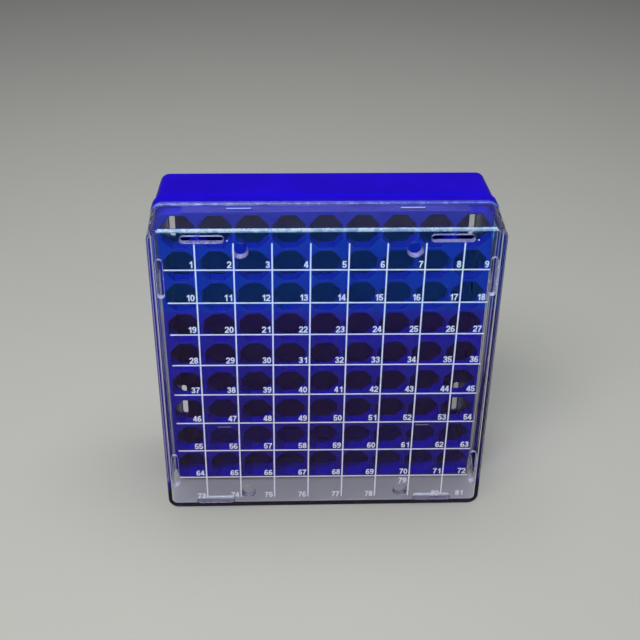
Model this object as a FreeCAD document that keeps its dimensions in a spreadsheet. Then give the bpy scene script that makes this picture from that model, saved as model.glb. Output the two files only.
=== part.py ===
import FreeCAD, Part
import math
import os
import Sketcher

# Closed 81-place vial storage box, standing on its edge.
# Model frame, millimetres: x across, y from the clear face (-26) to the closed back (+26), z up.
# The origin is the middle of the bottom of the standing box.

V = FreeCAD.Vector
doc = FreeCAD.newDocument("vial_box")

# ---------------------------------------------------------------- driving dimensions
dim = doc.addObject("Spreadsheet::Sheet", "dim")
CELLS = [
    ("side", 132.0, "outer side of the lid and of the flange"),
    ("depth", 52.0, "outer depth of the closed box"),
    ("corner", 4.4, "outer corner radius of lid and flange"),
    ("lid_front", 130.8, "outer side of the lid at its face"),
    ("lid_depth", 22.3, "lid, outer face to rim"),
    ("lid_face", 2.2, "thickness of the lid's face"),
    ("lid_inside", 127.9, "inner side of the lid"),
    ("lid_inner_corner", 2.1, "inner corner radius of the lid"),
    ("lid_edge", 1.2, "rounding of the lid's front edge"),
    ("lid_root", 0.6, "rounding inside, where face meets wall"),
    ("lid_lead", 0.5, "lead-in chamfer at the rim"),
    ("slot_length", 15.8, "slot in the lid, end to end"),
    ("slot_width", 2.5, "slot in the lid, width"),
    ("slot_along", 45.4, "slot middle, along the side"),
    ("slot_out", 61.45, "slot middle, from the centre"),
    ("slot_break", 0.3, "rounded edge of the lid's slots"),
    ("vent_along", 31.8, "vent hole, sideways"),
    ("vent_out", 57.0, "vent hole, from the centre"),
    ("vent_front", 6.3, "vent hole, front diameter"),
    ("vent_back", 4.9, "vent hole, back diameter"),
    ("flange_start", 22.6, "flange face, from the lid's outer face"),
    ("flange_depth", 5.4, "flange band"),
    ("flange_break", 0.3, "rounded edges of the flange"),
    ("wall_side", 131.2, "outer side of the base wall at the flange"),
    ("wall_corner", 4.6, "outer corner radius of the base wall"),
    ("wall_draft", 1.75, "draft of the base wall, degrees"),
    ("back_edge", 1.6, "rounding of the base's back edge"),
    ("rebate_side", 127.1, "rebate that takes the insert's lip"),
    ("rebate_corner", 4.7, "corner radius of the rebate"),
    ("rebate_depth", 3.0, "rebate depth"),
    ("cavity_side", 126.0, "cavity side at the ledge"),
    ("cavity_corner", 5.0, "corner radius of the cavity"),
    ("cavity_draft", 0.45, "draft of the cavity, degrees"),
    ("floor", 1.8, "thickness of the base floor"),
    ("base_slot_length", 16.4, "slot in the base floor, end to end"),
    ("base_slot_width", 2.4, "slot in the base floor, width"),
    ("base_slot_along", 45.3, "base slot middle, along the side"),
    ("base_slot_out", 61.4, "base slot middle, from the centre"),
    ("plate_start", 17.3, "front of the cell grid, from the lid's outer face"),
    ("plate_side", 126.6, "outer side of the cell grid"),
    ("plate_corner", 4.5, "corner radius of the cell grid"),
    ("plate_depth", 5.0, "thickness of the cell plate"),
    ("plate_break", 0.35, "broken front edge of the plate"),
    ("lip_inside", 124.6, "inner side of the lip under the plate"),
    ("lip_corner", 3.5, "inner corner radius of the lip"),
    ("lip_depth", 3.3, "height of the lip under the plate"),
    ("pitch", 13.9, "cell pitch, both ways"),
    ("places", 9.0, "cells along a side"),
    ("cell_flat", 12.4, "cell opening, across flats"),
    ("cell_lead", 0.15, "lead-in chamfer at each cell"),
    ("notch_along", 57.25, "edge notch middle, along the side"),
    ("notch_width", 6.5, "edge notch width"),
    ("notch_depth", 0.7, "edge notch depth"),
    ("ridge_along", 32.6, "snap ridge middle, along the side"),
    ("ridge_length", 9.2, "snap ridge length"),
    ("ridge_height", 0.3, "snap ridge height over the plate's edge"),
    ("ridge_start", 1.5, "snap ridge, from the plate's front"),
    ("ridge_width", 1.1, "snap ridge width"),
]
size = {}
for row, (alias, number, words) in enumerate(CELLS, start=1):
    dim.set("A%d" % row, alias)
    dim.set("B%d" % row, repr(number))
    dim.set("C%d" % row, words)
    dim.setAlias("B%d" % row, alias)
    size[alias] = number
doc.recompute()


# ---------------------------------------------------------------- helpers
def role(body, name):
    return [f for f in body.Origin.OriginFeatures if f.Role == name][0]


def sketch(body, name, depth="0"):
    """A sketch parallel to the XZ plane, depth millimetres along +Y from the body's origin."""
    sk = body.newObject("Sketcher::SketchObject", name)
    sk.AttachmentSupport = [(role(body, "XZ_Plane"), "")]
    sk.MapMode = "FlatFace"
    if depth != "0":
        sk.setExpression("AttachmentOffset.Base.z", "-(%s)" % depth)
    return sk


def bind(sk, constraint, name, expression):
    at = sk.addConstraint(constraint)
    sk.renameConstraint(at, name)
    sk.setExpression("Constraints." + name, expression)


def line(sk, a, b):
    return sk.addGeometry(Part.LineSegment(V(a[0], a[1], 0), V(b[0], b[1], 0)), False)


def arc(sk, c, r, a0, a1):
    circle = Part.Circle(V(c[0], c[1], 0), V(0, 0, 1), r)
    return sk.addGeometry(Part.ArcOfCircle(circle, math.radians(a0), math.radians(a1)), False)


def rounded_square(sk, tag, side, corner):
    """A square with rounded corners about the sketch's origin; side and corner are cell names."""
    h, r = size[side] / 2, size[corner]
    g = [
        line(sk, (-h + r, -h), (h - r, -h)),
        arc(sk, (h - r, -h + r), r, -90, 0),
        line(sk, (h, -h + r), (h, h - r)),
        arc(sk, (h - r, h - r), r, 0, 90),
        line(sk, (h - r, h), (-h + r, h)),
        arc(sk, (-h + r, h - r), r, 90, 180),
        line(sk, (-h, h - r), (-h, -h + r)),
        arc(sk, (-h + r, -h + r), r, 180, 270),
    ]
    C = Sketcher.Constraint
    for k in range(8):
        sk.addConstraint(C("Tangent", g[k], 2, g[(k + 1) % 8], 1))
    sk.addConstraint(C("Horizontal", g[4]))
    sk.addConstraint(C("Vertical", g[6]))
    for k in (3, 5, 7):
        sk.addConstraint(C("Equal", g[1], g[k]))
    sk.addConstraint(C("Symmetric", g[0], 1, g[0], 2, -2))
    sk.addConstraint(C("Symmetric", g[2], 1, g[2], 2, -1))
    bind(sk, C("Radius", g[1], r), tag + "_radius", "dim." + corner)
    bind(sk, C("DistanceX", g[6], 1, g[2], 1, 2 * h), tag + "_width", "dim." + side)
    bind(sk, C("DistanceY", g[0], 1, g[4], 1, 2 * h), tag + "_height", "dim." + side)


def obround(sk, tag, sign, along, out, length, width):
    """A slot along the sketch's x, its middle at (sign * along, out)."""
    r, half = size[width] / 2, (size[length] - size[width]) / 2
    cx, cy = sign * size[along], size[out]
    g = [
        arc(sk, (cx + half, cy), r, -90, 90),
        line(sk, (cx + half, cy + r), (cx - half, cy + r)),
        arc(sk, (cx - half, cy), r, 90, 270),
        line(sk, (cx - half, cy - r), (cx + half, cy - r)),
    ]
    C = Sketcher.Constraint
    for k in range(4):
        sk.addConstraint(C("Tangent", g[k], 2, g[(k + 1) % 4], 1))
    sk.addConstraint(C("Horizontal", g[1]))
    sk.addConstraint(C("Equal", g[0], g[2]))
    bind(sk, C("Radius", g[0], r), tag + "_end", "dim.%s / 2" % width)
    bind(sk, C("DistanceX", g[2], 3, g[0], 3, 2 * half), tag + "_run", "dim.%s - dim.%s" % (length, width))
    bind(sk, C("DistanceY", -1, 1, g[0], 3, cy), tag + "_out", "dim." + out)
    near, first, second = (g[2], (-1, 1), (g[2], 3)) if sign > 0 else (g[0], (g[0], 3), (-1, 1))
    bind(sk, C("DistanceX", first[0], first[1], second[0], second[1], size[along] - half), tag + "_along",
         "dim.%s - (dim.%s - dim.%s) / 2" % (along, length, width))


def rectangle(sk, tag, sign, along, length, low, low_at, high, high_at):
    """A rectangle with its middle at sign * along in x, from low to high in y; low and high are expressions."""
    half, cx = size[length] / 2, sign * size[along]
    g = [
        line(sk, (cx - half, low_at), (cx + half, low_at)),
        line(sk, (cx + half, low_at), (cx + half, high_at)),
        line(sk, (cx + half, high_at), (cx - half, high_at)),
        line(sk, (cx - half, high_at), (cx - half, low_at)),
    ]
    C = Sketcher.Constraint
    for k in range(4):
        sk.addConstraint(C("Coincident", g[k], 2, g[(k + 1) % 4], 1))
    sk.addConstraint(C("Horizontal", g[0]))
    sk.addConstraint(C("Vertical", g[1]))
    sk.addConstraint(C("Horizontal", g[2]))
    sk.addConstraint(C("Vertical", g[3]))
    bind(sk, C("DistanceX", g[0], 1, g[0], 2, 2 * half), tag + "_length", "dim." + length)
    bind(sk, C("DistanceY", -1, 1, g[0], 1, low_at), tag + "_low", low)
    bind(sk, C("DistanceY", -1, 1, g[2], 1, high_at), tag + "_high", high)
    ends = ((-1, 1), (g[0], 1)) if sign > 0 else ((g[0], 2), (-1, 1))
    bind(sk, C("DistanceX", ends[0][0], ends[0][1], ends[1][0], ends[1][1], size[along] - half), tag + "_along",
         "dim.%s - dim.%s / 2" % (along, length))


def octagon(sk, tag, flat, flat_expression):
    """A regular octagon with flats up, down and at the sides, at the first cell of the grid."""
    c = -(size["places"] - 1) / 2 * size["pitch"]
    r = flat / 2 / math.cos(math.radians(22.5))
    ring = sk.addGeometry(Part.Circle(V(c, c, 0), V(0, 0, 1), r), True)
    pts = [(c + r * math.cos(math.radians(a)), c + r * math.sin(math.radians(a)))
           for a in (-112.5, -67.5, -22.5, 22.5, 67.5, 112.5, 157.5, 202.5)]
    g = [line(sk, pts[k], pts[(k + 1) % 8]) for k in range(8)]
    C = Sketcher.Constraint
    for k in range(8):
        sk.addConstraint(C("Coincident", g[k], 2, g[(k + 1) % 8], 1))
    for k in range(8):
        sk.addConstraint(C("PointOnObject", g[k], 1, ring))
    for k in range(1, 8):
        sk.addConstraint(C("Equal", g[0], g[k]))
    sk.addConstraint(C("Horizontal", g[0]))
    middle = "(dim.places - 1) / 2 * dim.pitch"
    bind(sk, C("DistanceX", ring, 3, -1, 1, -c), tag + "_x", middle)
    bind(sk, C("DistanceY", ring, 3, -1, 1, -c), tag + "_y", middle)
    bind(sk, C("Radius", ring, r), tag + "_ring", "(%s) / 2 / cos(22.5 deg)" % flat_expression)


def volume(body):
    doc.recompute()
    return body.Shape.Volume


def pad(body, name, sk, length, draft=None):
    before = body.Shape.Volume if body.Shape and not body.Shape.isNull() else 0.0
    f = body.newObject("PartDesign::Pad", name)
    f.Profile = sk
    f.Reversed = True
    f.setExpression("Length", length)
    if draft:
        f.setExpression("TaperAngle", draft)
    if volume(body) <= before:
        raise RuntimeError(name + " adds nothing")
    return f


def pocket(body, name, sk, length=None, draft=None):
    before = volume(body)
    f = body.newObject("PartDesign::Pocket", name)
    f.Profile = sk
    if length is None:
        f.Type = "ThroughAll"
    else:
        f.setExpression("Length", length)
    if draft:
        f.setExpression("TaperAngle", draft)
    if volume(body) >= before - 1e-6:
        raise RuntimeError(name + " cuts nothing")
    return f


def four_ways(body, name, originals):
    """Repeats features on all four sides, about the body's Y axis."""
    before = volume(body)
    f = body.newObject("PartDesign::PolarPattern", name)
    f.Originals = originals
    f.Axis = (role(body, "Y_Axis"), [""])
    f.Angle = 360
    f.Occurrences = 4
    body.Tip = f
    if abs(volume(body) - before) < 1e-6:
        raise RuntimeError(name + " changes nothing")
    return f


def edges(body, keep):
    """Names of the tip's edges whose bounding box, in the body's own frame, passes keep."""
    doc.recompute()
    shape = body.Tip.Shape
    return ["Edge%d" % (i + 1) for i, e in enumerate(shape.Edges) if keep(e.BoundBox, e)]


def dress(body, kind, name, keep, amount):
    names = edges(body, keep)
    if not names:
        raise RuntimeError(name + " finds no edge")
    base = body.Tip
    before = volume(body)
    f = body.newObject("PartDesign::" + kind, name)
    f.Base = (base, names)
    f.setExpression("Radius" if kind == "Fillet" else "Size", amount)
    if abs(volume(body) - before) < 1e-9:
        raise RuntimeError(name + " changes nothing")
    return f


def flat_at(y, tol=1e-3):
    return lambda b: abs(b.YMin - y) < tol and abs(b.YMax - y) < tol


def place(body, y):
    body.setExpression("Placement.Base.x", "0 mm")
    body.setExpression("Placement.Base.y", y)
    body.setExpression("Placement.Base.z", "dim.side / 2 * 1 mm")


# ---------------------------------------------------------------- lid, a clear moulded cover
# Own frame: origin at the middle of the outer face, +Y towards the rim.
lid = doc.addObject("PartDesign::Body", "lid")
lid.Label = "lid"
sk = sketch(lid, "lid_outline")
rounded_square(sk, "outline", "lid_front", "corner")
pad(lid, "lid_block", sk, "dim.lid_depth", "atan((dim.side - dim.lid_front) / 2 / dim.lid_depth)")
dress(lid, "Fillet", "lid_front_edge", lambda b, e: flat_at(0)(b), "dim.lid_edge")
sk = sketch(lid, "lid_hollow_outline", "dim.lid_face")
rounded_square(sk, "hollow", "lid_inside", "lid_inner_corner")
pocket(lid, "lid_hollow", sk, "dim.lid_depth - dim.lid_face + 1")
inside = size["lid_inside"] / 2 + 0.05
dress(lid, "Fillet", "lid_root_edge", lambda b, e: flat_at(size["lid_face"])(b), "dim.lid_root")
dress(lid, "Chamfer", "lid_lead_in",
      lambda b, e: flat_at(size["lid_depth"])(b) and max(abs(b.XMin), abs(b.XMax), abs(b.ZMin), abs(b.ZMax)) < inside,
      "dim.lid_lead")
sk = sketch(lid, "lid_slot_outline")
obround(sk, "right", 1, "slot_along", "slot_out", "slot_length", "slot_width")
obround(sk, "left", -1, "slot_along", "slot_out", "slot_length", "slot_width")
slots = pocket(lid, "lid_slots", sk, "dim.lid_face + 0.5")
four_ways(lid, "lid_slots_all_round", [slots])
dress(lid, "Fillet", "lid_slot_edges",
      lambda b, e: flat_at(0)(b) and max(b.XLength, b.ZLength) < 20, "dim.slot_break")
sk = sketch(lid, "lid_vent_outline")
for tag, sx, sz in (("a", 1, 1), ("b", -1, 1), ("c", 1, -1), ("d", -1, -1)):
    g = sk.addGeometry(Part.Circle(V(sx * size["vent_along"], sz * size["vent_out"], 0), V(0, 0, 1),
                                   size["vent_front"] / 2), False)
    bind(sk, Sketcher.Constraint("Radius", g, size["vent_front"] / 2), "vent_%s_radius" % tag, "dim.vent_front / 2")
    ends = ((-1, 1), (g, 3)) if sx > 0 else ((g, 3), (-1, 1))
    bind(sk, Sketcher.Constraint("DistanceX", ends[0][0], ends[0][1], ends[1][0], ends[1][1], size["vent_along"]),
         "vent_%s_along" % tag, "dim.vent_along")
    ends = ((-1, 1), (g, 3)) if sz > 0 else ((g, 3), (-1, 1))
    bind(sk, Sketcher.Constraint("DistanceY", ends[0][0], ends[0][1], ends[1][0], ends[1][1], size["vent_out"]),
         "vent_%s_out" % tag, "dim.vent_out")
pocket(lid, "lid_vents", sk, "dim.lid_face",
       "-atan((dim.vent_front - dim.vent_back) / 2 / dim.lid_face)")
place(lid, "-dim.depth / 2 * 1 mm")

# ---------------------------------------------------------------- base, a moulded tray
# Own frame: origin at the middle of the flange face, +Y towards the closed back.
base = doc.addObject("PartDesign::Body", "base")
base.Label = "base"
base_depth = "(dim.depth - dim.flange_start)"
sk = sketch(base, "flange_outline")
rounded_square(sk, "flange", "side", "corner")
pad(base, "flange", sk, "dim.flange_depth")
dress(base, "Fillet", "flange_edges", lambda b, e: b.YLength < 1e-3, "dim.flange_break")
sk = sketch(base, "wall_outline", "dim.flange_depth - 0.6")
rounded_square(sk, "wall", "wall_side", "wall_corner")
pad(base, "walls", sk, base_depth + " - dim.flange_depth + 0.6", "-dim.wall_draft * 1 deg")
back = size["depth"] - size["flange_start"]
dress(base, "Fillet", "back_edges", lambda b, e: flat_at(back)(b), "dim.back_edge")
sk = sketch(base, "rebate_outline")
rounded_square(sk, "rebate", "rebate_side", "rebate_corner")
pocket(base, "rebate", sk, "dim.rebate_depth")
sk = sketch(base, "cavity_outline", "dim.rebate_depth")
rounded_square(sk, "cavity", "cavity_side", "cavity_corner")
pocket(base, "cavity", sk, base_depth + " - dim.rebate_depth - dim.floor", "-dim.cavity_draft * 1 deg")
sk = sketch(base, "base_slot_outline", base_depth + " - dim.floor - 0.5")
obround(sk, "right", 1, "base_slot_along", "base_slot_out", "base_slot_length", "base_slot_width")
obround(sk, "left", -1, "base_slot_along", "base_slot_out", "base_slot_length", "base_slot_width")
slots = pocket(base, "base_slots", sk, "dim.floor + 1")
four_ways(base, "base_slots_all_round", [slots])
place(base, "(dim.flange_start - dim.depth / 2) * 1 mm")

# ---------------------------------------------------------------- cell grid, a moulded insert
# Own frame: origin at the middle of the plate's front face, +Y into the base.
grid = doc.addObject("PartDesign::Body", "cell_grid")
grid.Label = "cell_grid"
sk = sketch(grid, "plate_outline")
rounded_square(sk, "plate", "plate_side", "plate_corner")
pad(grid, "plate", sk, "dim.plate_depth")
dress(grid, "Fillet", "plate_front_edge", lambda b, e: flat_at(0)(b), "dim.plate_break")
sk = sketch(grid, "lip_outline", "dim.plate_depth - 0.2")
rounded_square(sk, "outer", "plate_side", "plate_corner")
rounded_square(sk, "inner", "lip_inside", "lip_corner")
pad(grid, "lip", sk, "dim.lip_depth + 0.2")
sk = sketch(grid, "ridge_outline", "dim.ridge_start")
edge = size["plate_side"] / 2
for tag, sign in (("right", 1), ("left", -1)):
    rectangle(sk, tag, sign, "ridge_along", "ridge_length",
              "dim.plate_side / 2 - 0.3", edge - 0.3,
              "dim.plate_side / 2 + dim.ridge_height", edge + size["ridge_height"])
ridges = pad(grid, "ridges", sk, "dim.ridge_width")
four_ways(grid, "ridges_all_round", [ridges])
sk = sketch(grid, "notch_outline")
for tag, sign in (("right", 1), ("left", -1)):
    rectangle(sk, tag, sign, "notch_along", "notch_width",
              "dim.plate_side / 2 - dim.notch_depth", edge - size["notch_depth"],
              "dim.plate_side / 2 + 1", edge + 1)
notches = pocket(grid, "notches", sk, "dim.plate_depth")
four_ways(grid, "notches_all_round", [notches])
sk = sketch(grid, "cell_outline")
octagon(sk, "cell", size["cell_flat"], "dim.cell_flat")
cell = pocket(grid, "cell", sk, "dim.plate_depth + dim.lip_depth")
sk = sketch(grid, "cell_lead_outline")
octagon(sk, "lead", size["cell_flat"] + 2 * size["cell_lead"], "dim.cell_flat + 2 * dim.cell_lead")
lead = pocket(grid, "cell_lead_in", sk, "dim.cell_lead", "-45 deg")
one_cell = volume(grid)
cells = grid.newObject("PartDesign::LinearPattern", "all_cells")
cells.Originals = [cell, lead]
cells.Direction = (role(grid, "X_Axis"), [""])
cells.setExpression("Length", "(dim.places - 1) * dim.pitch")
cells.Occurrences = int(size["places"])
cells.Direction2 = (role(grid, "Z_Axis"), [""])
cells.setExpression("Length2", "(dim.places - 1) * dim.pitch")
cells.Occurrences2 = int(size["places"])
grid.Tip = cells
if volume(grid) > one_cell - 70 * size["plate_depth"] * 120:
    raise RuntimeError("the cells are not all cut")
place(grid, "(dim.plate_start - dim.depth / 2) * 1 mm")

# ---------------------------------------------------------------- check, then write
doc.recompute()
bad = [(o.Name, o.State) for o in doc.Objects if "Invalid" in o.State or "Error" in o.State]
if bad:
    raise RuntimeError("failed objects: %r" % bad)
pieces = [lid, base, grid]
for body in pieces:
    shape = body.Shape
    if shape.isNull() or not shape.isValid() or len(shape.Solids) != 1:
        raise RuntimeError("%s has no single valid solid" % body.Label)
    b = shape.optimalBoundingBox(False)
    print("%-10s volume %9.1f mm3  x %.2f..%.2f  y %.2f..%.2f  z %.2f..%.2f  faces %d" % (
        body.Label, shape.Volume, b.XMin, b.XMax, b.YMin, b.YMax, b.ZMin, b.ZMax, len(shape.Faces)))
total = sum(body.Shape.Volume for body in pieces)
middle = sum((body.Shape.Solids[0].CenterOfMass * body.Shape.Volume for body in pieces), V(0, 0, 0)) * (1.0 / total)
print("all        volume %9.1f mm3  centre of mass %.2f %.2f %.2f" % (total, middle.x, middle.y, middle.z))

os.makedirs("parts", exist_ok=True)
for body in pieces:
    body.Shape.Solids[0].exportStep(os.path.join("parts", body.Label + ".step"))
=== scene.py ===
import math

import bpy
import numpy as np
from mathutils import Matrix, Vector
from mathutils.geometry import tessellate_polygon


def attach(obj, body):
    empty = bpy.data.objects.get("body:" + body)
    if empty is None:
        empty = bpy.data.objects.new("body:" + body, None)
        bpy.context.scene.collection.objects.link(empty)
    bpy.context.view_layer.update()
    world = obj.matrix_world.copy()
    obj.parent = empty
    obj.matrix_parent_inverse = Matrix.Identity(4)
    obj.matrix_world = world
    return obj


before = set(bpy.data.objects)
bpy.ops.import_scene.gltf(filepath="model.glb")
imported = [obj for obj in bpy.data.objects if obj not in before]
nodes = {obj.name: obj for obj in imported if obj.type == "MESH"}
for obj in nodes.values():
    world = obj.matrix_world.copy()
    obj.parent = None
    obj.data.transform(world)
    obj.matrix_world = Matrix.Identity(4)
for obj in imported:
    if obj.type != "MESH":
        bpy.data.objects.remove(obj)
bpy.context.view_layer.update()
MM = 0.001


# ---------------------------------------------------------------- node helpers
def new_material(name):
    m = bpy.data.materials.new(name)
    m.use_nodes = True
    m.node_tree.nodes.clear()
    out = m.node_tree.nodes.new("ShaderNodeOutputMaterial")
    return m, m.node_tree, out


def add(nt, kind, **values):
    n = nt.nodes.new(kind)
    for key, value in values.items():
        setattr(n, key, value)
    return n


def noise(nt, vector, scale, detail=3.0, rough=0.5):
    n = add(nt, "ShaderNodeTexNoise")
    n.inputs["Scale"].default_value = scale
    n.inputs["Detail"].default_value = detail
    n.inputs["Roughness"].default_value = rough
    nt.links.new(vector, n.inputs["Vector"])
    return n.outputs["Fac"]


def ramp(nt, fac, low, high, a=0.0, b=1.0):
    n = add(nt, "ShaderNodeMapRange", interpolation_type="SMOOTHSTEP")
    n.inputs["From Min"].default_value = low
    n.inputs["From Max"].default_value = high
    n.inputs["To Min"].default_value = a
    n.inputs["To Max"].default_value = b
    nt.links.new(fac, n.inputs["Value"])
    return n.outputs["Result"]


def mix_colour(nt, fac, a, b):
    n = add(nt, "ShaderNodeMix", data_type="RGBA")
    for key, value in (("A", a), ("B", b)):
        socket = [s for s in n.inputs if s.name == key and s.type == "RGBA"][0]
        if isinstance(value, tuple):
            socket.default_value = (*value, 1.0)
        else:
            nt.links.new(value, socket)
    nt.links.new(fac, n.inputs[0])
    return [s for s in n.outputs if s.type == "RGBA"][0]


def bump(nt, height, strength, distance, normal=None):
    n = add(nt, "ShaderNodeBump")
    n.inputs["Strength"].default_value = strength
    n.inputs["Distance"].default_value = distance
    nt.links.new(height, n.inputs["Height"])
    if normal is not None:
        nt.links.new(normal, n.inputs["Normal"])
    return n.outputs["Normal"]


def place_of(nt):
    return add(nt, "ShaderNodeTexCoord").outputs["Object"]


# ------------------------------------------------------------------- materials
def blue_plastic(name, light, deep, rough_low, rough_high, grain, shine, step=None):
    """Satin moulded polypropylene: flow-mottled blue, fine grain, slightly uneven gloss, and an optional painted
    highlight line along the flange's step.
    """
    m, nt, out = new_material(name)
    p = add(nt, "ShaderNodeBsdfPrincipled")
    here = place_of(nt)
    cloud = noise(nt, here, 38.0, 4.0, 0.55)
    fine = noise(nt, here, 900.0, 2.0, 0.5)
    colour = mix_colour(nt, ramp(nt, cloud, 0.34, 0.68), deep, light)
    if step is not None:                     # painted highlight: a lighter line along the step of the flange
        at, width, painted_sheen = step
        apart = add(nt, "ShaderNodeSeparateXYZ")
        nt.links.new(here, apart.inputs[0])
        off = add(nt, "ShaderNodeMath", operation="SUBTRACT")
        nt.links.new(apart.outputs["Y"], off.inputs[0])
        off.inputs[1].default_value = at
        size = add(nt, "ShaderNodeMath", operation="ABSOLUTE")
        nt.links.new(off.outputs[0], size.inputs[0])
        colour = mix_colour(nt, ramp(nt, size.outputs[0], 0.0002, width, 1.0, 0.0), colour, painted_sheen)
    nt.links.new(colour, p.inputs["Base Color"])
    nt.links.new(ramp(nt, noise(nt, here, 120.0, 3.0), 0.3, 0.7, rough_low, rough_high), p.inputs["Roughness"])
    nt.links.new(bump(nt, fine, grain, 0.00004), p.inputs["Normal"])
    p.inputs["IOR"].default_value = 1.49
    p.inputs["Specular IOR Level"].default_value = shine
    nt.links.new(p.outputs[0], out.inputs["Surface"])
    return m


def let_light_through(nt, surface, tint, out):
    """Lamps reach what is behind a clear wall: shadow rays pass it, tinted."""
    clear = add(nt, "ShaderNodeBsdfTransparent")
    clear.inputs["Color"].default_value = (*tint, 1.0)
    path = add(nt, "ShaderNodeLightPath")
    mix = add(nt, "ShaderNodeMixShader")
    nt.links.new(path.outputs["Is Shadow Ray"], mix.inputs[0])
    nt.links.new(surface, mix.inputs[1])
    nt.links.new(clear.outputs[0], mix.inputs[2])
    nt.links.new(mix.outputs[0], out.inputs["Surface"])


def clear_plastic(name):
    """Injection-moulded clear plastic: solid, faint lavender body colour, light scuffs on the surface."""
    m, nt, out = new_material(name)
    glass = add(nt, "ShaderNodeBsdfPrincipled")
    glass.inputs["Base Color"].default_value = (0.93, 0.93, 0.985, 1.0)
    glass.inputs["Transmission Weight"].default_value = 1.0
    glass.inputs["IOR"].default_value = 1.38
    here = place_of(nt)
    stretch = add(nt, "ShaderNodeMapping")
    stretch.inputs["Scale"].default_value = (1.0, 1.0, 9.0)
    stretch.inputs["Rotation"].default_value = (0.0, 0.5, 0.0)
    nt.links.new(here, stretch.inputs["Vector"])
    scuff = ramp(nt, noise(nt, stretch.outputs[0], 160.0, 5.0, 0.65), 0.60, 0.82)
    n = add(nt, "ShaderNodeMath", operation="MULTIPLY_ADD")
    nt.links.new(scuff, n.inputs[0])
    n.inputs[1].default_value = 0.04
    n.inputs[2].default_value = 0.004
    nt.links.new(n.outputs[0], glass.inputs["Roughness"])
    wave = noise(nt, here, 55.0, 1.0, 0.4)
    nt.links.new(bump(nt, wave, 0.05, 0.0002), glass.inputs["Normal"])
    # fine dust lies on the upward side, almost none elsewhere
    facing = add(nt, "ShaderNodeSeparateXYZ")
    nt.links.new(add(nt, "ShaderNodeTexCoord").outputs["Normal"], facing.inputs[0])
    dusty = ramp(nt, facing.outputs["Z"], 0.5, 0.95, 0.9975, 0.993)
    speck = ramp(nt, noise(nt, here, 260.0, 4.0, 0.6), 0.3, 0.7, 0.0022, -0.0022)
    both = add(nt, "ShaderNodeMath", operation="ADD")
    nt.links.new(dusty, both.inputs[0])
    nt.links.new(speck, both.inputs[1])
    nt.links.new(both.outputs[0], glass.inputs["Transmission Weight"])
    # reflections tinted warm and dimmed: a painted warm reflection
    glass.inputs["Specular Tint"].default_value = (0.36, 0.16, 0.24, 1.0)
    let_light_through(nt, glass.outputs[0], (0.93, 0.93, 0.97), out)
    return m


def frosted(name, dark, light, through, low, high, grain_size):
    """The same plastic where it is cut or worn: fine-grained, milky surface; several uses give it lighter or darker
    colours that are painted highlight or painted shade.
    """
    m, nt, out = new_material(name)
    p = add(nt, "ShaderNodeBsdfPrincipled")
    here = place_of(nt)
    grain = noise(nt, here, grain_size, 3.0, 0.6)
    nt.links.new(mix_colour(nt, ramp(nt, grain, 0.3, 0.7), dark, light), p.inputs["Base Color"])
    nt.links.new(ramp(nt, grain, 0.3, 0.7, low, high), p.inputs["Roughness"])
    p.inputs["Transmission Weight"].default_value = through
    p.inputs["IOR"].default_value = 1.46
    let_light_through(nt, p.outputs[0], (0.80, 0.80, 0.90), out)
    return m


def white_ink(name):
    """Screen-printed white ink with slightly uneven cover."""
    m, nt, out = new_material(name)
    p = add(nt, "ShaderNodeBsdfPrincipled")
    here = place_of(nt)
    cover = noise(nt, here, 700.0, 3.0, 0.6)
    nt.links.new(mix_colour(nt, ramp(nt, cover, 0.3, 0.7), (0.78, 0.75, 1.0), (0.92, 0.88, 1.0)), p.inputs["Base Color"])
    nt.links.new(ramp(nt, cover, 0.3, 0.7, 0.42, 0.30), p.inputs["Roughness"])
    nt.links.new(bump(nt, cover, 0.25, 0.00002), p.inputs["Normal"])
    nt.links.new(p.outputs[0], out.inputs["Surface"])
    return m


def pale_floor(name):
    m, nt, out = new_material(name)
    p = add(nt, "ShaderNodeBsdfPrincipled")
    here = place_of(nt)
    nt.links.new(mix_colour(nt, ramp(nt, noise(nt, here, 9.0, 5.0), 0.3, 0.7), (0.430, 0.405, 0.355), (0.438, 0.412, 0.362)), p.inputs["Base Color"])
    p.inputs["Roughness"].default_value = 0.75
    p.inputs["Specular IOR Level"].default_value = 0.25
    nt.links.new(p.outputs[0], out.inputs["Surface"])
    return m


# the base's lighter line at the flange's step is a painted highlight
flange_step = (nodes["base"].matrix_world.inverted() @ Vector((0.0, 0.0026, 0.066))).y
base_blue = blue_plastic("blue_base_satin", (0.0110, 0.0002, 0.405), (0.0085, 0.0001, 0.350), 0.26, 0.36, 0.12, 0.10,
                         (flange_step, 0.0022, (0.0040, 0.0001, 0.52)))
grid_blue = blue_plastic("blue_grid_satin", (0.006, 0.0030, 0.44), (0.004, 0.0022, 0.375), 0.36, 0.46, 0.15, 0.28)
lid_clear = clear_plastic("clear_lid_polished")
lid_cut = frosted("clear_lid_cut_walls", (0.22, 0.21, 0.44), (0.34, 0.33, 0.60), 0.45, 0.22, 0.38, 420.0)
# the vertical slots' walls get a lighter copy of the cut-wall finish: a painted highlight
lid_side_cut_highlight = frosted("clear_lid_side_cut_walls", (0.55, 0.52, 0.80), (0.80, 0.78, 0.98), 0.45, 0.15, 0.30, 420.0)
# the lower slots' and vents' walls that face up get a darker copy: painted shade
lid_low_cut = frosted("clear_lid_low_cut_walls_painted_shade", (0.20, 0.16, 0.26), (0.32, 0.27, 0.40), 0.60, 0.06, 0.20, 420.0)
# their walls that face down get a near-white copy: a painted highlight
lid_low_brow_highlight = frosted("clear_lid_low_cut_upper_walls_painted_highlight", (0.78, 0.80, 0.95), (0.95, 0.96, 1.0), 0.25, 0.15, 0.30, 420.0)
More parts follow.
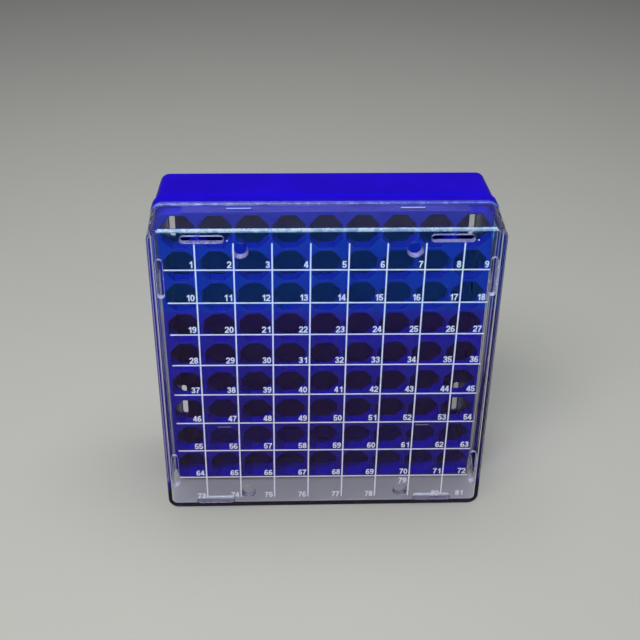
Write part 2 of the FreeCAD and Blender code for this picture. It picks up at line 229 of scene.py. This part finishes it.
# the upper front edge is frosted by wear, and its bright cyan-white colour is a painted highlight
lid_edge_highlight = frosted("clear_lid_worn_edge_painted_highlight", (0.30, 0.52, 0.80), (0.72, 0.90, 1.0), 0.55, 0.10, 0.40, 330.0)
# the rim is frosted, and its bright blue colour is a painted highlight
lid_rim_highlight = frosted("clear_lid_rim", (0.12, 0.17, 0.90), (0.24, 0.32, 1.0), 0.35, 0.15, 0.35, 260.0)
ink = white_ink("white_ink_print")
for node, material in (("base", base_blue), ("cell_grid", grid_blue), ("lid", lid_clear)):
    nodes[node].data.materials.clear()
    nodes[node].data.materials.append(material)


def cut_walls(ob, belongs, turned_ok=lambda n: True):
    """Faces of the lid's slot and vent walls, found by where they lie."""
    place = ob.matrix_world
    at = [tuple(place @ v.co / MM) for v in ob.data.vertices]
    found = []
    for poly in ob.data.polygons:
        if abs(poly.normal.y) > 0.97:
            continue
        pts = [at[k] for k in poly.vertices]
        if max(p[1] for p in pts) > -23.7:
            continue
        reach = []
        for x, y, z in pts:
            u, v = abs(x), abs(z - 66.0)
            along, out = min(u, v), max(u, v)
            slot = math.hypot(max(abs(along - 45.4) - 6.65, 0.0), out - 61.45)
            vent = math.hypot(u - 31.8, v - 57.0)
            reach.append((slot, vent))
        if all(1.20 < r[0] < 1.62 for r in reach) or all(2.40 < r[1] < 3.20 for r in reach):
            if belongs(pts[0][0], pts[0][2]) and turned_ok(poly.normal):
                found.append(poly.index)
    return found


def upper_cuts(ob):
    return cut_walls(ob, lambda x, z: z > 118.0 and abs(x) < 58.5)


def side_cuts(ob):
    return cut_walls(ob, lambda x, z: abs(x) >= 58.5)


def lower_cuts(ob):
    return cut_walls(ob, lambda x, z: z < 14.0 and abs(x) < 58.5, lambda n: n.z >= -0.25)


def lower_brows(ob):
    """The upper walls of the lower slots and vents, which face down."""
    return cut_walls(ob, lambda x, z: z < 14.0 and abs(x) < 58.5, lambda n: n.z < -0.25)


def upper_edge(ob):
    """Faces of the rounding along the lid's upper front edge, where it is worn and painted with a highlight."""
    place = ob.matrix_world
    at = [tuple(place @ v.co / MM) for v in ob.data.vertices]
    found = []
    for poly in ob.data.polygons:
        pts = [at[k] for k in poly.vertices]
        if poly.normal.z > 0.12 and abs(poly.normal.x) < 0.05 and max(p[1] for p in pts) < -24.7 and min(p[2] for p in pts) > 129.9:
            if all(math.hypot(max(abs(abs(p[0]) - 45.4) - 6.65, 0.0), p[2] - 127.45) > 1.7 for p in pts):
                found.append(poly.index)
    return found


def rim(ob):
    """Faces of the lid's upper rim and of the lead-in chamfer beside it, frosted and painted bright blue as a
    highlight.
    """
    place = ob.matrix_world
    at = [tuple(place @ v.co / MM) for v in ob.data.vertices]
    return [poly.index for poly in ob.data.polygons
            if min(at[k][1] for k in poly.vertices) > -4.25 and poly.normal.y > 0.3
            and min(at[k][2] for k in poly.vertices) > 128.5]


lid = nodes["lid"]
for index, material, find in ((1, lid_cut, upper_cuts), (2, lid_edge_highlight, upper_edge), (3, lid_rim_highlight, rim),
                              (4, lid_side_cut_highlight, side_cuts), (5, lid_low_cut, lower_cuts), (6, lid_low_brow_highlight, lower_brows)):
    lid.data.materials.append(material)
    picked = find(lid)
    print(material.name, len(picked), "faces of", len(lid.data.polygons))
    for k in picked:
        lid.data.polygons[k].material_index = index

def cavity(ob):
    """Faces of the base's inner walls and of the inside of its floor, which are duller than the outside and painted
    darker as shade.
    """
    place = ob.matrix_world
    at = [tuple(place @ v.co / MM) for v in ob.data.vertices]
    found = []
    for poly in ob.data.polygons:
        pts = [at[k] for k in poly.vertices]
        low = min(p[1] for p in pts)
        x, z = sum(p[0] for p in pts) / len(pts), sum(p[2] for p in pts) / len(pts) - 66.0
        inward = poly.normal.x * x + poly.normal.z * z < -5.0 and 1.0 < low < 24.0
        if inward or (poly.normal.y < -0.9 and low > 20.0):
            found.append(poly.index)
    return found


base = nodes["base"]
# the inside gets a darker copy of the base blue: painted shade, and a duller finish
base.data.materials.append(blue_plastic("blue_base_inside_painted_shade", (0.0100, 0.0002, 0.285), (0.0080, 0.0001, 0.245), 0.45, 0.55, 0.12, 0.08))
inner = cavity(base)
print("base inside", len(inner), "faces of", len(base.data.polygons))
for k in inner:
    base.data.polygons[k].material_index = 1

# the insert's outer edge: painted lighter and greyer as a reflection seen through the lid, with a painted highlight on
# the snap ridges and painted shadow under them
painted_sheen = blue_plastic("blue_grid_rubbed_edge", (0.034, 0.030, 0.34), (0.020, 0.017, 0.27), 0.40, 0.55, 0.15, 0.25)
# painted highlight on the tops of the snap ridges
ridge_top_highlight = blue_plastic("blue_grid_ridge_top", (0.42, 0.46, 0.95), (0.30, 0.34, 0.90), 0.30, 0.40, 0.10, 0.35)
# the cells' lead-in chamfers get a darker copy of the grid blue: painted shade that dims their highlight
lead = blue_plastic("blue_grid_cell_lead_painted_shade", (0.003, 0.0015, 0.27), (0.002, 0.0010, 0.22), 0.50, 0.60, 0.10, 0.10)
# painted shadow on the faces under the snap ridges
ridge_foot_shadow = blue_plastic("blue_grid_ridge_foot", (0.001, 0.001, 0.050), (0.001, 0.001, 0.030), 0.50, 0.60, 0.10, 0.10)


def insert_edges(ob):
    """Material number for each face of the insert that lies on its outer edge, and for the cells' lead-in chamfers,
    which get painted shade.
    """
    place = ob.matrix_world
    at = [tuple(place @ v.co / MM) for v in ob.data.vertices]
    found = {}
    for poly in ob.data.polygons:
        pts = [at[k] for k in poly.vertices]
        out = [max(abs(p[0]), abs(p[2] - 66.0)) for p in pts]
        deep = [p[1] for p in pts]
        if min(out) > 63.55:
            # ridge tops: painted highlight
            found[poly.index] = 2
        elif min(out) > 63.20 and max(deep) < -6.0 and min(deep) > -8.0 and abs(poly.normal.y) > 0.9:
            # faces under the ridges: painted shadow
            found[poly.index] = 3
        elif min(out) > 63.20 and abs(poly.normal.y) < 0.5:
            # outer edge: painted reflection
            found[poly.index] = 1
        elif max(out) < 62.5 and max(deep) < -8.5 and -0.8 < poly.normal.y < -0.6:
            # lead-in chamfers: painted shade
            found[poly.index] = 4
    return found


grid = nodes["cell_grid"]
for material in (painted_sheen, ridge_top_highlight, ridge_foot_shadow, lead):
    grid.data.materials.append(material)
edge_faces = insert_edges(grid)
print("insert edge faces", [list(edge_faces.values()).count(k) for k in (1, 2, 3, 4)])
for k, number in edge_faces.items():
    grid.data.polygons[k].material_index = number


# ------------------------------------------------------- the print on the lid
INK_FRONT, INK_BACK = -26.030, -26.004       # y of the ink's two faces, in mm
PX, PZ = 0.5, 65.95                          # where the printed grid's centre lies, in mm
SKEW = 0.0053                                # the print sits a third of a degree askew on the lid
PITCH, LINE = 14.0, 0.56


def askew(x, z):
    """A printed point turned with the print about its centre."""
    return PX + (x - PX) + SKEW * (z - PZ), PZ + (z - PZ) - SKEW * (x - PX)


def mesh_object(name, verts, faces, material, smooth=False):
    me = bpy.data.meshes.new(name)
    me.from_pydata([Vector(v) * MM for v in verts], [], faces)
    me.update()
    me.validate()
    me.materials.append(material)
    ob = bpy.data.objects.new(name, me)
    bpy.context.scene.collection.objects.link(ob)
    for poly in me.polygons:
        poly.use_smooth = smooth
    return ob


def grid_lines():
    """All printed lines as one closed slab: rectangles are cut at every crossing, so nothing overlaps."""
    rects = []
    half = LINE / 2
    for i in range(1, 9):
        x = PX + (i - 4.5) * PITCH
        top, low = PZ + 60.0, PZ - 59.9
        if i in (1, 8):                      # these two end at the slots
            lean = SKEW * (x - PX)
            top, low = 66.0 + 59.78 + lean, 66.0 - 59.78 + lean
        rects.append((x - half, x + half, low, top))
    for j in range(1, 9):
        z = PZ + (4.5 - j) * PITCH
        left, right = PX - 59.8, PX + 59.4
        if j in (1, 8):
            lean = SKEW * (z - PZ)
            left, right = -59.78 - lean, 59.78 - lean
        rects.append((left, right, z - half, z + half))
    xs = sorted({round(v, 5) for r in rects for v in r[:2]})
    zs = sorted({round(v, 5) for r in rects for v in r[2:]})
    filled = np.zeros((len(xs) - 1, len(zs) - 1), bool)
    for i in range(len(xs) - 1):
        for j in range(len(zs) - 1):
            cx, cz = (xs[i] + xs[i + 1]) / 2, (zs[j] + zs[j + 1]) / 2
            filled[i, j] = any(r[0] < cx < r[1] and r[2] < cz < r[3] for r in rects)
    index, verts, faces = {}, [], []

    def vert(i, j, y):
        key = (i, j, y)
        if key not in index:
            index[key] = len(verts)
            verts.append((xs[i], y, zs[j]))
        return index[key]

    for i, j in zip(*np.nonzero(filled)):
        a, b, c, d = (i, j), (i + 1, j), (i + 1, j + 1), (i, j + 1)
        faces.append([vert(*p, INK_FRONT) for p in (a, b, c, d)])
        faces.append([vert(*p, INK_BACK) for p in (d, c, b, a)])
        for (p, q), (di, dj) in (((a, b), (0, -1)), ((b, c), (1, 0)), ((c, d), (0, 1)), ((d, a), (-1, 0))):
            ni, nj = i + di, j + dj
            if not (0 <= ni < filled.shape[0] and 0 <= nj < filled.shape[1] and filled[ni, nj]):
                faces.append([vert(*p, INK_BACK), vert(*q, INK_BACK), vert(*q, INK_FRONT), vert(*p, INK_FRONT)])
    return verts, faces


# digits: centre lines of bold strokes on a 0.58 by 1 box, joined by a distance field and traced
W, H, S = 0.58, 1.0, 0.178


def arc(cx, cy, rx, ry, a0, a1, n=22):
    return [(cx + rx * math.cos(math.radians(a0 + (a1 - a0) * k / n)),
             cy + ry * math.sin(math.radians(a0 + (a1 - a0) * k / n))) for k in range(n + 1)]


def flip(lines):
    return [[(W - x, H - y) for x, y in line] for line in lines]


SIX = [
    arc(W / 2, 0.305, (W - S) / 2, 0.305 - S / 2, 0, 360, 40),
    [(S / 2, 0.34), (S / 2 + 0.004, 0.50), (S / 2 + 0.025, 0.66), (S / 2 + 0.07, 0.79), (S / 2 + 0.13, 0.87),
     (S / 2 + 0.20, 0.908), (S / 2 + 0.27, 0.900), (S / 2 + 0.335, 0.86), (S / 2 + 0.375, 0.775)],
]
DIGITS = {
    0: [arc(W / 2, H / 2, (W - S) / 2, (H - S) / 2, 0, 360, 48)],
    1: [[(0.375, 0.0), (0.375, 1.0)], [(0.375, 0.905), (0.30, 0.80), (0.20, 0.735), (0.085, 0.715)]],
    2: [arc(W / 2, 0.69, (W - S) / 2, 0.31 - S / 2, 172, 0) + [(W - S / 2 - 0.012, 0.60), (W - S / 2 - 0.06, 0.50),
        (W - S / 2 - 0.15, 0.39), (S / 2 + 0.10, 0.26), (S / 2 + 0.04, 0.17), (S / 2 + 0.01, 0.08)],
        [(0.0, S / 2), (W - 0.005, S / 2)]],
    3: [arc(W / 2 - 0.005, 0.735, (W - S) / 2 - 0.012, 0.265 - S / 2, 165, -90),
        arc(W / 2 - 0.005, 0.29, (W - S) / 2, 0.29 - S / 2, 90, -168), [(W / 2 - 0.09, 0.52), (W / 2 + 0.03, 0.52)]],
    4: [[(0.405, 0.0), (0.405, 1.0)], [(0.0, 0.285), (W + 0.01, 0.285)], [(0.375, 0.935), (0.075, 0.33)]],
    5: [[(0.085, H - S / 2), (W - 0.025, H - S / 2)], [(0.135, H - S / 2), (0.098, 0.50)],
        arc(W / 2 - 0.005, 0.325, (W - S) / 2, 0.325 - S / 2, 150, -166, 32)],
    6: SIX,
    7: [[(0.01, H - S / 2), (W - 0.005, H - S / 2)],
        [(W - 0.09, H - S / 2), (0.40, 0.69), (0.30, 0.48), (0.235, 0.25), (0.21, 0.0)]],
    8: [arc(W / 2, 0.742, (W - S) / 2 - 0.028, 0.258 - S / 2 + 0.012, 0, 360, 40),
        arc(W / 2, 0.285, (W - S) / 2, 0.285 - S / 2, 0, 360, 40)],
    9: flip(SIX),
}


def stroke_field(lines, xs, ys):
    """Distance to the union of square-ended strokes, negative inside."""
    gx, gy = np.meshgrid(xs, ys, indexing="ij")
    best = np.full(gx.shape, 9.0)
    for line in lines:
        pts = np.array(line)
        closed = np.allclose(pts[0], pts[-1])
        for k in range(len(pts) - 1):
            a, d = pts[k], pts[k + 1] - pts[k]
            length = np.hypot(*d)
            d = d / length
            u = (gx - a[0]) * d[0] + (gy - a[1]) * d[1]
            v = -(gx - a[0]) * d[1] + (gy - a[1]) * d[0]
            du, dv = np.abs(u - length / 2) - length / 2, np.abs(v) - S / 2
            outside = np.hypot(np.maximum(du, 0), np.maximum(dv, 0))
            best = np.minimum(best, outside + np.minimum(np.maximum(du, dv), 0))
        joints = pts[:-1] if closed else pts[1:-1]
        for p in joints:
            best = np.minimum(best, np.hypot(gx - p[0], gy - p[1]) - S / 2)
    # nothing of a stroke stands over the top or under the foot of the digit
    return np.maximum(best, np.abs(gy - H / 2) - H / 2)


def trace(field, xs, ys):
    """Marching squares: closed loops round the negative region, negative side on the left."""
    nx, ny = field.shape
    points, follow = {}, {}

    def cross(a, b):
        key = (a, b) if a < b else (b, a)
        if key not in points:
            (i0, j0), (i1, j1) = key
            f0, f1 = field[i0, j0], field[i1, j1]
            t = f0 / (f0 - f1)
            points[key] = (xs[i0] + t * (xs[i1] - xs[i0]), ys[j0] + t * (ys[j1] - ys[j0]))
        return key

    for i in range(nx - 1):
        for j in range(ny - 1):
            c = [(i, j), (i + 1, j), (i + 1, j + 1), (i, j + 1)]
            s = [field[p] < 0 for p in c]
            if all(s) or not any(s):
                continue
            leave, enter = [], []
            for k in range(4):
                if s[k] and not s[(k + 1) % 4]:
                    leave.append((k, cross(c[k], c[(k + 1) % 4])))
                elif not s[k] and s[(k + 1) % 4]:
                    enter.append((k, cross(c[k], c[(k + 1) % 4])))
            for k, key in leave:
                nearest = min(enter, key=lambda e: (k - e[0]) % 4)
                follow[key] = nearest[1]
    loops = []
    while follow:
        start = next(iter(follow))
        loop, key = [], start
        while key in follow:
            loop.append(points[key])
            key = follow.pop(key)
        if len(loop) > 5:
            loops.append(loop)
    return loops


def thin(loop, tolerance):
    """Leaves out points that lie within tolerance of the line between their kept neighbours."""
    pts = np.array(loop)
    far = int(np.argmax(np.hypot(*(pts - pts[0]).T)))

    def split(a, b):
        if b - a < 2:
            return []
        p, q = ring[a], ring[b]
        d = q - p
        n = np.array((-d[1], d[0])) / max(np.hypot(*d), 1e-9)
        off = np.abs((ring[a + 1:b] - p) @ n)
        k = int(np.argmax(off))
        if off[k] < tolerance:
            return []
        return split(a, a + 1 + k) + [a + 1 + k] + split(a + 1 + k, b)

    ring = np.vstack([pts, pts[:1]])
    keep = [0] + split(0, far) + [far] + split(far, len(pts))
    return [tuple(pts[k]) for k in keep]


def glyph(lines):
    xs = np.linspace(-0.06, W + 0.06, 113)
    ys = np.linspace(-0.05, H + 0.05, 177)
    loops = [thin(loop, 0.0035) for loop in trace(stroke_field(lines, xs, ys), xs, ys)]
    flat = [Vector((x, y, 0)) for loop in loops for x, y in loop]
    tris = tessellate_polygon([[Vector((x, y, 0)) for x, y in loop] for loop in loops])
    good = []
    for a, b, c in tris:
        area = (flat[b] - flat[a]).cross(flat[c] - flat[a]).z
        if abs(area) > 1e-9:
            good.append((a, b, c) if area > 0 else (a, c, b))
    return loops, flat, good


GLYPHS = {d: glyph(lines) for d, lines in DIGITS.items()}
CAP, ADVANCE = 2.80, 1.72                    # height of the digits and step between them, in mm


def add_number(text, right, low, verts, faces):
    """The number with its last digit's right edge at x = right and its foot at z = low."""
    for k, ch in enumerate(reversed(text)):
        x0 = right - W * CAP - k * ADVANCE
        if ch == "1":
            x0 += (W - 0.375 - S / 2) * CAP * 0.55
        loops, flat, tris = GLYPHS[int(ch)]
        start = len(verts)
        n = len(flat)
        for y in (INK_FRONT, INK_BACK):
            verts.extend((x0 + p.x * CAP, y, low + p.y * CAP) for p in flat)
        faces.extend([start + a, start + b, start + c] for a, b, c in tris)
        faces.extend([start + n + c, start + n + b, start + n + a] for a, b, c in tris)
        at = start
        for loop in loops:
            m = len(loop)
            for i in range(m):
                p, q = at + i, at + (i + 1) % m
                faces.append([p, p + n, q + n, q])
            at += m


def numbers():
    verts, faces = [], []
    for number in range(1, 82):
        row, column = divmod(number - 1, 9)
        right = PX + (column - 3.5) * PITCH - 0.80
        low = PZ + (3.5 - row) * PITCH + 0.85
        if column == 8:
            right = PX + 58.5
        if row == 8:
            low = PZ - (60.5 if column == 0 else 60.1)
        if number == 79:
            low = PZ - 53.0
            right = PX + 35.0 - 0.95
        add_number(str(number), right, low, verts, faces)
    return verts, faces


def dots():
    """Two small white dots beside the upper slots."""
    verts, faces = [], []
    for x, z in ((-36.26, 127.13), (54.61, 126.87)):
        start, n, r = len(verts), 20, 0.30
        for y in (INK_FRONT, INK_BACK):
            verts.extend((x + r * math.cos(2 * math.pi * k / n), y, z + r * math.sin(2 * math.pi * k / n)) for k in range(n))
        faces.append([start + k for k in range(n)])
        faces.append([start + n + k for k in reversed(range(n))])
        faces.extend([start + k, start + n + k, start + n + (k + 1) % n, start + (k + 1) % n] for k in range(n))
    return verts, faces


def turned(verts, faces):
    out = []
    for x, y, z in verts:
        x, z = askew(x, z)
        out.append((x, y, z))
    return out, faces


printed = [
    mesh_object("lid_print_lines", *turned(*grid_lines()), ink),
    mesh_object("lid_print_numbers", *turned(*numbers()), ink),
    mesh_object("lid_white_dots", *dots(), ink),
]
for piece in printed:
    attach(piece, "lid")


# ------------------------------------------------------------ floor and lights
def panel(name, centre, aim, width, height, colour, power):
    light = bpy.data.lights.new(name, "AREA")
    light.shape = "RECTANGLE"
    light.size, light.size_y = width, height
    light.color = colour
    light.energy = power
    ob = bpy.data.objects.new(name, light)
    bpy.context.scene.collection.objects.link(ob)
    ob.location = centre
    ob.rotation_mode = "QUATERNION"
    ob.rotation_quaternion = (Vector(aim) - Vector(centre)).to_track_quat("-Z", "Y")
    return ob


def floor():
    """A pale table top with a rounded near edge, 24 mm thick."""
    near, far, half, thick, radius = -0.188, 2.6, 2.2, 0.024, 0.004
    top = -0.00004                           # a hair's breadth under the box, so its clear wall keeps its own lower face
    profile = [(far, top)] + [(near + radius - radius * math.sin(a), top - radius + radius * math.cos(a))
                              for a in [math.pi / 2 * k / 6 for k in range(7)]] + [(near, -thick), (far, -thick)]
    verts = [(x, y, z) for x in (-half, half) for y, z in profile]
    n = len(profile)
    faces = [[k, (k + 1) % n, n + (k + 1) % n, n + k] for k in range(n)]
    faces += [list(reversed(range(n))), [n + k for k in range(n)]]
    me = bpy.data.meshes.new("floor")
    me.from_pydata(verts, [], faces)
    me.update()
    me.materials.append(pale_floor("pale_floor"))
    ob = bpy.data.objects.new("floor", me)
    bpy.context.scene.collection.objects.link(ob)
    return ob


floor()
panel("key", (-0.22, -0.46, 0.82), (0, 0, 0.08), 0.50, 0.36, (0.90, 0.95, 1.0), 7.5)
panel("top", (0.06, 0.10, 0.90), (0, 0, 0.06), 0.62, 0.42, (0.86, 0.95, 1.0), 5.0)
low = panel("low_fill", (0.02, -0.45, -0.125), (0.02, 0, 0.11), 0.36, 0.13, (0.004, 0.48, 1.0), 0.83)
low.visible_camera = False
low.visible_transmission = False

world = bpy.data.worlds.new("room")
bpy.context.scene.world = world
world.use_nodes = True
world.node_tree.nodes["Background"].inputs["Color"].default_value = (0.56, 0.57, 0.70, 1.0)
world.node_tree.nodes["Background"].inputs["Strength"].default_value = 0.12

# ---------------------------------------------------------------------- camera
eye = Vector((-15.20, -356.95, 299.40)) * MM
lean = Matrix.Rotation(SKEW, 3, "Y")         # the camera was measured on the print, which is askew by this much
pitch, yaw, roll = math.radians(31.871), math.radians(2.3727), math.radians(1.00577)
forward = Vector((math.sin(yaw) * math.cos(pitch), math.cos(yaw) * math.cos(pitch), -math.sin(pitch)))
level = Vector((math.cos(yaw), -math.sin(yaw), 0.0))
above = level.cross(forward)
right = level * math.cos(roll) + above * math.sin(roll)
up = above * math.cos(roll) - level * math.sin(roll)
camera_data = bpy.data.cameras.new("camera")
camera_data.sensor_fit = "HORIZONTAL"
camera_data.sensor_width = 36.0
camera_data.lens = 1035.40 / 640.0 * 36.0
camera_data.clip_start, camera_data.clip_end = 0.01, 20.0
camera = bpy.data.objects.new("camera", camera_data)
bpy.context.scene.collection.objects.link(camera)
camera.matrix_world = Matrix.Translation(eye) @ lean.to_4x4() @ Matrix((
    (right.x, up.x, -forward.x), (right.y, up.y, -forward.y), (right.z, up.z, -forward.z))).to_4x4()
bpy.context.scene.camera = camera

scene = bpy.context.scene
scene.view_settings.view_transform = "Standard"
scene.view_settings.exposure = 0.0
scene.cycles.max_bounces = 24
scene.cycles.transmission_bounces = 20
scene.cycles.glossy_bounces = 8
scene.cycles.diffuse_bounces = 4
scene.cycles.transparent_max_bounces = 24
scene.cycles.caustics_refractive = False
scene.cycles.caustics_reflective = False
scene.cycles.use_denoising = True
